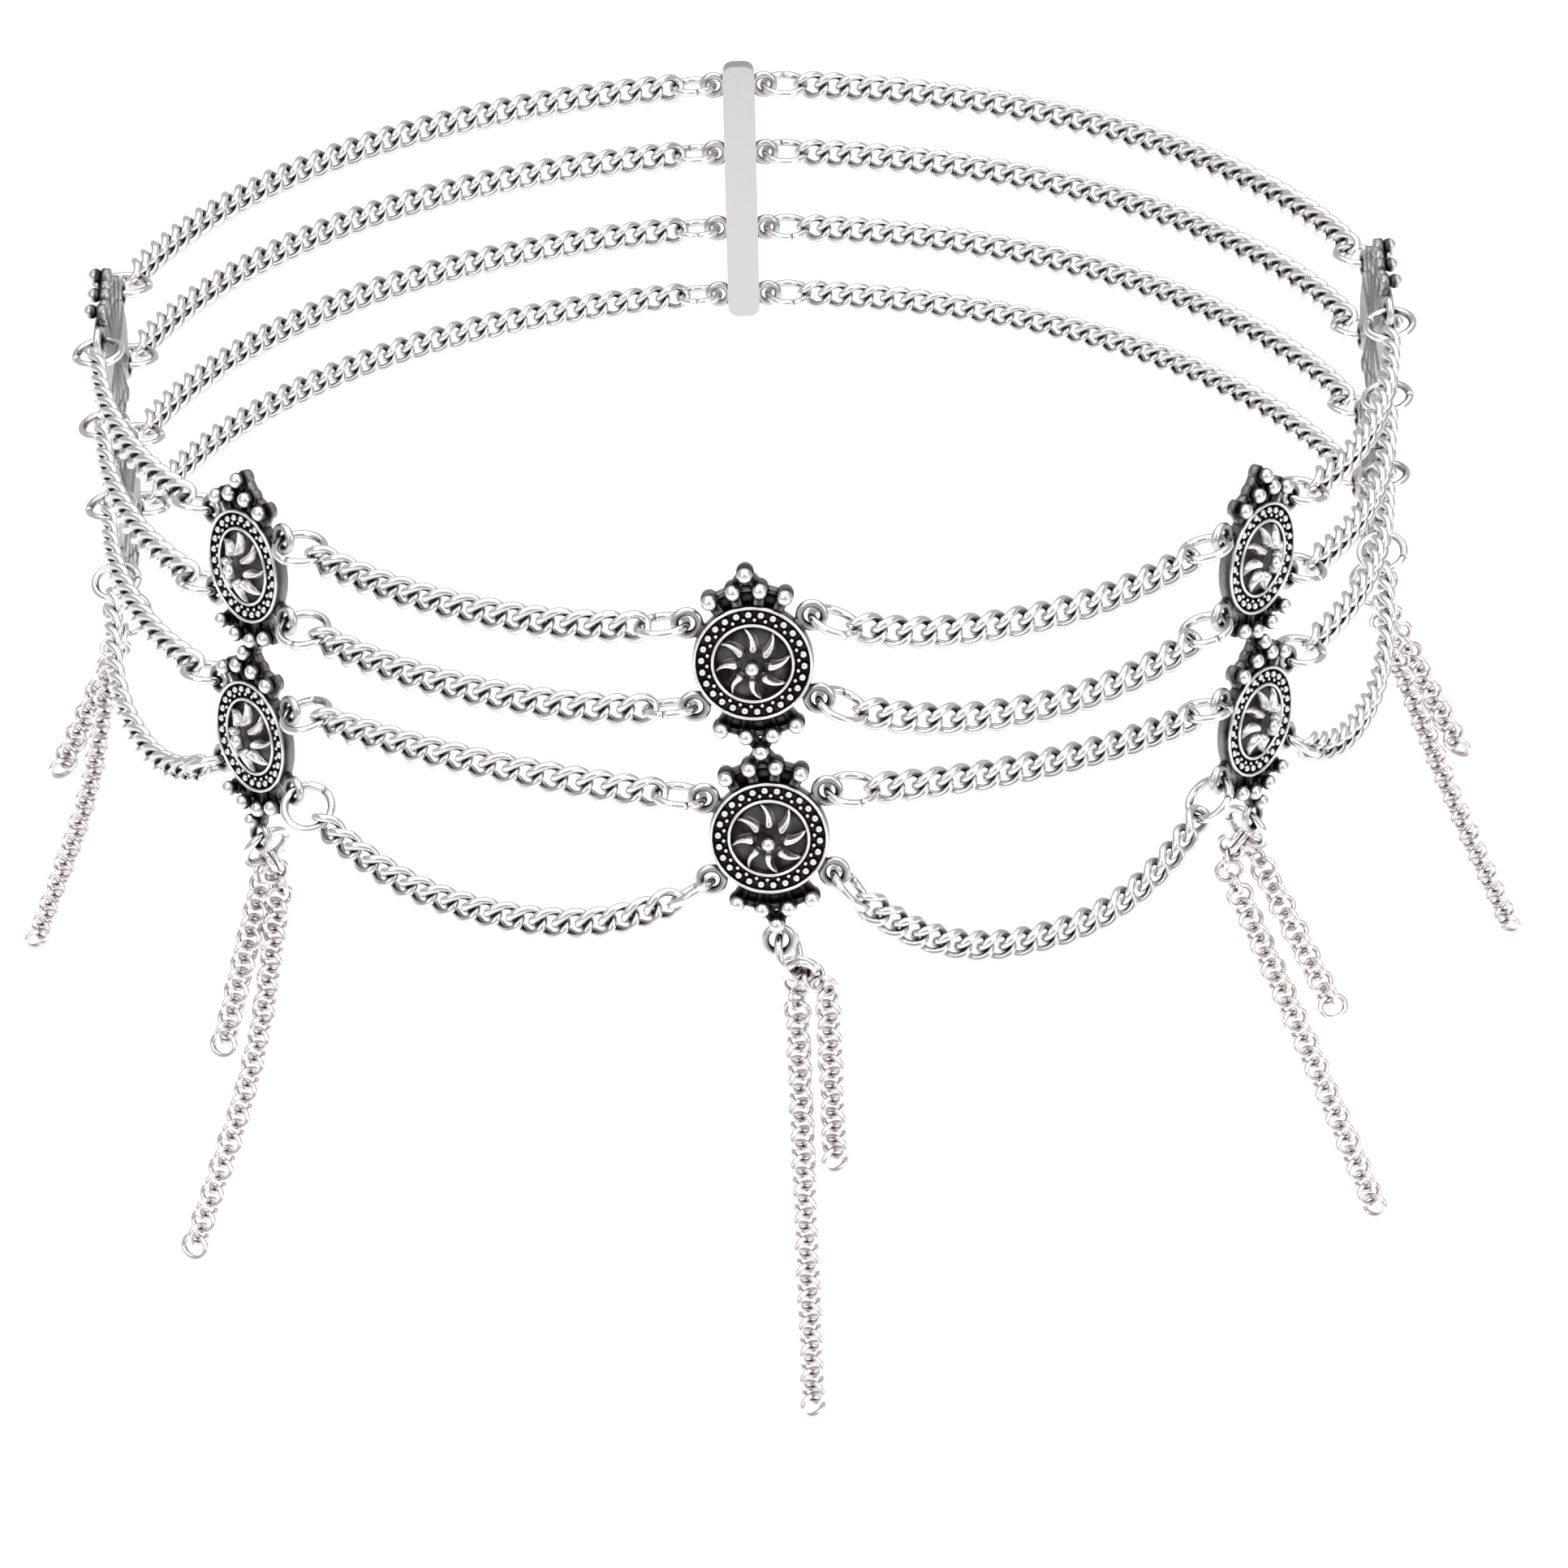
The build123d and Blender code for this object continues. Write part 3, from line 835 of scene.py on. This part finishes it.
# Plate and loops of a medallion: how finely they are cut, and how far the tops of its
# bars lie below the plate's
pad_sides = 20
web_steps = 24
loop_rows = 28
loop_sides = 12
band_step = 0.05
tip_step = 0.02
loop_step = 0.04


def pad(radius, low, high):
    """Short round post with a softened upper edge."""
    turn = even_turns(pad_sides)
    rows = ((radius, low), (radius, high - chamfer), (radius - chamfer, high))
    points = [[[r * math.cos(a), r * math.sin(a), z] for a in turn] for r, z in rows]
    oxide = np.repeat((back_oxide, plate_oxide, plate_oxide), pad_sides)
    shell = Shell()
    shell.add(points, ring_faces(len(rows), pad_sides, False), oxide)
    shell.cap(np.arange(pad_sides)[::-1])
    shell.cap((len(rows) - 1) * pad_sides + np.arange(pad_sides))
    return shell


def bar(start, end, width, low, high):
    """Flat bar with softened upper edges between two points."""
    way = unit(end - start)
    side = vec(-way[1], way[0])
    half = width / 2
    section = ((half, low), (half, high - chamfer), (half - chamfer, high))
    section = section + tuple((-y, z) for y, z in section[::-1])
    points = [[spot + side * y + UP * z for y, z in section] for spot in (start, end)]
    count = len(section)
    oxide = np.array([back_oxide if z == low else bar_oxide for _, z in section * 2])
    shell = Shell()
    shell.add(points, ring_faces(2, count, False)[:, ::-1], oxide)
    shell.cap(np.arange(count))
    shell.cap((count + np.arange(count))[::-1])
    return shell


def web(toward, low, high):
    """Thin plate between a disc and the beads above (+1) or below (-1) it."""
    turns = np.radians(np.linspace(-web_spread, web_spread, web_steps + 1))
    inner = disc_radius - ridge_width
    section = ((inner, low), (web_reach, low), (web_reach, high), (inner, high))
    lines = []
    for reach, height in section:
        across, rise = reach * np.sin(turns), toward * reach * np.cos(turns)
        lines.append(np.stack([across, rise, np.full(len(turns), height)], 1))
    faces = ring_faces(len(turns), len(section), False)
    oxide = np.tile((back_oxide, back_oxide, plate_oxide, plate_oxide), len(turns))
    shell = Shell()
    shell.add(np.stack(lines, 1), faces if toward > 0 else faces[:, ::-1], oxide)
    ends = np.arange(len(section))
    for corners in (ends, web_steps * len(section) + ends[::-1]):
        shell.cap(corners if toward < 0 else corners[::-1])
    return shell


def eyelet(radius, wire):
    """Loop or eye of the casting, a little oxidised all over."""
    ring = torus(radius, wire, loop_rows, loop_sides)
    ring.oxide = [loop_oxide + (1 - loop_oxide) * value for value in ring.oxide]
    return ring


def disc_bead_places(disc_y, toward):
    """Beads of the arc above (+1) or below (-1) a disc."""
    places = []
    for angle in bead_angles:
        spot = polar(bead_reach, angle)
        places.append(vec(spot[0], disc_y + toward * spot[1]))
    return places


def add_grains(whole, disc_y, grain, seed):
    """Grains in a disc's channel, and between them a row of finer seeds inside it."""
    for index in range(granule_count):
        spot = polar(granule_reach, index * full_turn / granule_count)
        height = channel_floor + granule_proud
        whole.copy_of(grain, moved(spot[0], disc_y + spot[1], height))
        spot = polar(seed_reach, (index + 0.5) * full_turn / granule_count)
        height = channel_floor + seed_proud
        whole.copy_of(seed, moved(spot[0], disc_y + spot[1], height))


def add_plate(whole, disc_y, toward, low, high):
    """Bars and web that carry the beads above (+1) or below (-1) a disc."""
    middle = vec(0, disc_y)
    tip = vec(0, disc_y + toward * disc_spacing / 2)
    places = disc_bead_places(disc_y, toward)
    for place in places:
        whole.copy_of(bar(middle, place, neck_width, low, high), np.eye(4))
    whole.copy_of(web(toward, low, web_top), moved(0, disc_y))
    for before, after in zip(places, places[1:]):
        whole.copy_of(bar(before, after, band_width, low, high - band_step), np.eye(4))
    for inner in places[1:3]:
        whole.copy_of(bar(inner, tip, neck_width, low, high - tip_step), np.eye(4))


def medallion_shell():
    """Whole cast medallion in its own plane."""
    low, high = -plate_thickness / 2, plate_thickness / 2
    disc = relief_shell()
    grain = ball(granule_radius, rows=5, sides=12, lowest=-0.5, oxide_edge=0.6)
    seed = ball(seed_radius, rows=4, sides=8, lowest=-0.7, oxide_edge=0.5)
    dot = ball(dot_radius, rows=8, sides=20, lowest=-0.6, oxide_edge=0.6)
    bead = ball(bead_radius, rows=10, sides=20, lowest=-0.8, oxide_edge=1.0)
    post = pad(pad_radius, low, high)
    whole = Shell()
    bead_places = [vec(0, rank * disc_spacing) for rank in (1, 0, -1)]
    for side in (1, -1):
        disc_y = side * disc_spacing / 2
        whole.copy_of(disc, moved(0, disc_y))
        whole.copy_of(dot, moved(0, disc_y, dot_height - dot_radius))
        add_grains(whole, disc_y, grain, seed)
        for toward in (1, -1):
            add_plate(whole, disc_y, toward, low, high)
            bead_places += disc_bead_places(disc_y, toward)
    for place in bead_places:
        whole.copy_of(post, moved(place[0], place[1]))
        whole.copy_of(bead, moved(place[0], place[1], high + bead_radius - bead_sink))
    loop = eyelet(loop_ring_radius, loop_wire)
    for level in LEVELS:
        for side in (1, -1):
            place = loop_place(level, side)
            middle = vec(0, level.disc * disc_spacing / 2)
            root = place + unit(middle - place) * loop_ring_radius
            whole.copy_of(loop, moved(place[0], place[1]))
            whole.copy_of(bar(middle, root, loop_neck_width, low, high - loop_step), np.eye(4))
    eye = eye_place()
    whole.copy_of(eyelet(eye_ring_radius, eye_wire), moved(eye[0], eye[1]))
    return whole


# Materials: colours of the clean metal and of its oxide and painted shade, roughness of each,
# how much a point's oxide counts, the painted shade of the hollows (ambient occlusion) from
# dark to clear, its reach, and the strength and grain of fine dents
Finish = namedtuple(
    "Finish",
    "name silver tarnish smooth rough oxide_gain cavity_low cavity_high reach bump grain",
)
# Dark colour of the oxide, and of the painted shade in the hollows and between touching parts
TARNISH_AND_SHADE = (0.035, 0.026, 0.028)
CAST = Finish(
    "cast_silver", (0.72, 0.70, 0.71), (0.012, 0.008, 0.010),
    0.22, 0.45, 0.95, 0.15, 0.75, 0.9, 0.7, 0.35,
)
CHAIN = Finish(
    "chain_silver", (0.77, 0.75, 0.76), TARNISH_AND_SHADE,
    0.16, 0.3, 0.45, 0.12, 0.62, 1.1, 0.2, 0.5,
)
RING = Finish(
    "ring_silver", (0.76, 0.74, 0.75), TARNISH_AND_SHADE,
    0.12, 0.25, 0.28, 0.05, 0.5, 0.9, 0.15, 0.6,
)
TASSEL = Finish(
    "tassel_silver", (0.78, 0.74, 0.75), (0.16, 0.10, 0.09),
    0.2, 0.3, 0.35, 0.1, 0.6, 1.0, 0.12, 0.5,
)
# The clasp holds no oxide: only painted shade darkens it in its hollows
CLASP = Finish(
    "clasp_silver", (0.5, 0.485, 0.49), TARNISH_AND_SHADE,
    0.28, 0.4, 0.0, 0.1, 0.6, 1.2, 0.3, 0.5,
)

# Samples of the hollows' painted shade, patches that vary the oxide and painted shade (their
# size, detail, range of the noise and range of their share), and detail and depth of the fine
# dents
painted_shade_samples = 8
patch_size = 2.5
patch_detail = 4.0
patch_noise = (0.3, 0.7)
patch_shares = (0.88, 1.08)
dent_detail = 3.0
dent_depth = 0.03


def ramp(tree, value, source, target):
    """Output that maps one range of values to another."""
    node = tree.nodes.new("ShaderNodeMapRange")
    node.inputs["From Min"].default_value, node.inputs["From Max"].default_value = source
    node.inputs["To Min"].default_value, node.inputs["To Max"].default_value = target
    tree.links.new(value, node.inputs["Value"])
    return node.outputs["Result"]


def noise(tree, coordinates, size, detail):
    """Output of a noise with patches of a size in millimetres."""
    node = tree.nodes.new("ShaderNodeTexNoise")
    node.inputs["Scale"].default_value = 1 / (size * MM)
    node.inputs["Detail"].default_value = detail
    tree.links.new(coordinates, node.inputs["Vector"])
    return node.outputs["Fac"]


def maths(tree, operation, first, second, clamp=False):
    """Output of a sum or product, whose second term is a number or an output."""
    node = tree.nodes.new("ShaderNodeMath")
    node.operation = operation
    node.use_clamp = clamp
    tree.links.new(first, node.inputs[0])
    if isinstance(second, float):
        node.inputs[1].default_value = second
    else:
        tree.links.new(second, node.inputs[1])
    return node.outputs[0]


def metal(finish):
    """Oxidised silver: bright where it is rubbed, darker with its oxide, and dark in the
    hollows and between touching parts by painted shade from ambient occlusion, which partly
    stands for oxide there.
    """
    material = bpy.data.materials.new(finish.name)
    material.use_nodes = True
    tree = material.node_tree
    nodes, links = tree.nodes, tree.links
    shader = nodes["Principled BSDF"]
    shader.inputs["Metallic"].default_value = 1.0
    coordinates = nodes.new("ShaderNodeTexCoord").outputs["Object"]

    oxide = nodes.new("ShaderNodeAttribute")
    oxide.attribute_name = "oxide"
    # Painted shade: ambient occlusion darkens the colour towards the dark oxide colour in the
    # hollows and between touching parts, and partly stands for oxide in the hollows
    painted_shade_ao = nodes.new("ShaderNodeAmbientOcclusion")
    painted_shade_ao.samples = painted_shade_samples
    painted_shade_ao.inputs["Distance"].default_value = finish.reach * MM
    painted_shade_range = (finish.cavity_low, finish.cavity_high)
    shade = ramp(tree, painted_shade_ao.outputs["AO"], painted_shade_range, (1.0, 0.0))
    held = maths(tree, "MULTIPLY", oxide.outputs["Fac"], finish.oxide_gain)
    both = maths(tree, "ADD", held, shade)
    patches = noise(tree, coordinates, patch_size, patch_detail)
    vary = ramp(tree, patches, patch_noise, patch_shares)
    total = maths(tree, "MULTIPLY", both, vary, clamp=True)

    colour = nodes.new("ShaderNodeMix")
    colour.data_type = "RGBA"
    colour.inputs["A"].default_value = (*finish.silver, 1)
    colour.inputs["B"].default_value = (*finish.tarnish, 1)
    links.new(total, colour.inputs["Factor"])
    links.new(colour.outputs["Result"], shader.inputs["Base Color"])
    rough = ramp(tree, total, (0.0, 1.0), (finish.smooth, finish.rough))
    links.new(rough, shader.inputs["Roughness"])

    dent = nodes.new("ShaderNodeBump")
    dent.inputs["Strength"].default_value = finish.bump
    dent.inputs["Distance"].default_value = dent_depth * MM
    links.new(noise(tree, coordinates, finish.grain, dent_detail), dent.inputs["Height"])
    links.new(dent.outputs["Normal"], shader.inputs["Normal"])
    return material


cast_silver = metal(CAST)
chain_silver = metal(CHAIN)
ring_silver = metal(RING)
tassel_silver = metal(TASSEL)

# Pieces: strands
curb = link_shell(
    link_half_length + link_body_slack, link_body_width, link_body_wire,
    link_body_twist, link_body_slope, link_arc_steps, link_sides,
)
for stretch in STRETCHES:
    for level in LEVELS:
        ending = f"{level.number}_{stretch.name}"
        mesh = strand_mesh(stretch, level, curb)
        finish_piece(
            f"links_{ending}", mesh, chain_silver, f"strand_{ending}"
        )

# Pieces: medallions, tassels and jump rings
fine_link = link_shell(
    tassel_half_length, tassel_link_width, tassel_wire,
    twist=0.0, slope=0.0, steps=tassel_arc_steps, sides=tassel_sides,
)
cast = medallion_shell()
for row, tassel in zip(MEDALLIONS, TASSELS):
    whole = Shell()
    whole.copy_of(cast, medallion_frame(row))
    finish_piece(
        f"cast_{row.name}", whole.mesh(f"cast_{row.name}"), cast_silver,
        f"medallion_{row.name}",
    )
    finish_piece(
        f"tassel_links_{row.name}", tassel_mesh(row, tassel, fine_link), tassel_silver,
        f"tassel_{row.name}",
    )
    finish_piece(
        f"rings_{row.name}", rings_mesh(row.name), ring_silver,
        f"jump_rings_{row.name}",
    )
finish_piece(
    "rings_clasp", rings_mesh("clasp"), ring_silver, "jump_rings_clasp"
)
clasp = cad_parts["clasp_bar"]
clasp.data.materials.clear()
clasp.data.materials.append(metal(CLASP))

# Studio: pale floor, white surroundings and soft lights
floor_drop = 60.0
floor_half = 3000.0
floor_colour = (0.9, 0.9, 0.9, 1)
floor_roughness = 0.9
world_colour = (1, 1, 1, 1)
world_strength = 0.62

floor_level = cad_low[2] / MM - floor_drop
floor_mesh = bpy.data.meshes.new("floor")
floor_corners = [
    (x * floor_half * MM, y * floor_half * MM, floor_level * MM)
    for x, y in ((-1, -1), (1, -1), (1, 1), (-1, 1))
]
floor_mesh.from_pydata(floor_corners, [], [(0, 1, 2, 3)])
floor = bpy.data.objects.new("floor", floor_mesh)
bpy.context.scene.collection.objects.link(floor)
paper = bpy.data.materials.new("floor_white")
paper.use_nodes = True
paper_shader = paper.node_tree.nodes["Principled BSDF"]
paper_shader.inputs["Base Color"].default_value = floor_colour
paper_shader.inputs["Roughness"].default_value = floor_roughness
floor_mesh.materials.append(paper)

world = bpy.data.worlds.new("studio")
bpy.context.scene.world = world
world.use_nodes = True
sky = world.node_tree.nodes["Background"]
sky.inputs["Color"].default_value = world_colour
sky.inputs["Strength"].default_value = world_strength

# Lights: rectangles that look at the origin, with their place, width, height and power
Lamp = namedtuple("Lamp", "name x y z width height power")
LAMPS = (
    Lamp("top", 0, -50, 900, 1400, 1400, 12.0),
    Lamp("key", -420, -520, 420, 320, 320, 2.0),
    Lamp("fill", 480, -420, 260, 260, 380, 1.5),
)


def looking(place, target, roll=0.0):
    """Matrix in metres of a camera or light that looks from a place to a target."""
    back = unit(place - target)
    right = unit(np.cross(UP, back))
    top = np.cross(back, right)
    turn = math.radians(roll)
    matrix = np.eye(4)
    matrix[:3, 0] = right * math.cos(turn) + top * math.sin(turn)
    matrix[:3, 1] = top * math.cos(turn) - right * math.sin(turn)
    matrix[:3, 2] = back
    matrix[:3, 3] = place * MM
    return Matrix(matrix.tolist())


for row in LAMPS:
    light = bpy.data.lights.new(row.name, "AREA")
    light.shape = "RECTANGLE"
    light.size = row.width * MM
    light.size_y = row.height * MM
    light.energy = row.power
    lamp = bpy.data.objects.new(row.name, light)
    bpy.context.scene.collection.objects.link(lamp)
    lamp.matrix_world = looking(vec(row.x, row.y, row.z), vec(0, 0))

# Camera at the photograph's viewing angle
camera_place = vec(0.223, -448.295, 221.346)
camera_elevation = 29.887
camera_azimuth = -0.320
camera_roll = -1.216
focal_pixels = 6712.7
image_pixels = 1932
sensor = 36.0
clip_near = 10.0
clip_far = 10000.0

lens = bpy.data.cameras.new("camera")
lens.sensor_width = sensor
lens.lens = sensor * focal_pixels / image_pixels
lens.clip_start = clip_near * MM
lens.clip_end = clip_far * MM
camera = bpy.data.objects.new("camera", lens)
bpy.context.scene.collection.objects.link(camera)
tilt = math.radians(camera_elevation)
back = outward(camera_azimuth) * math.cos(tilt) + UP * math.sin(tilt)
camera.matrix_world = looking(camera_place, camera_place - back, camera_roll)
bpy.context.scene.camera = camera
bpy.context.scene.view_settings.view_transform = "Standard"
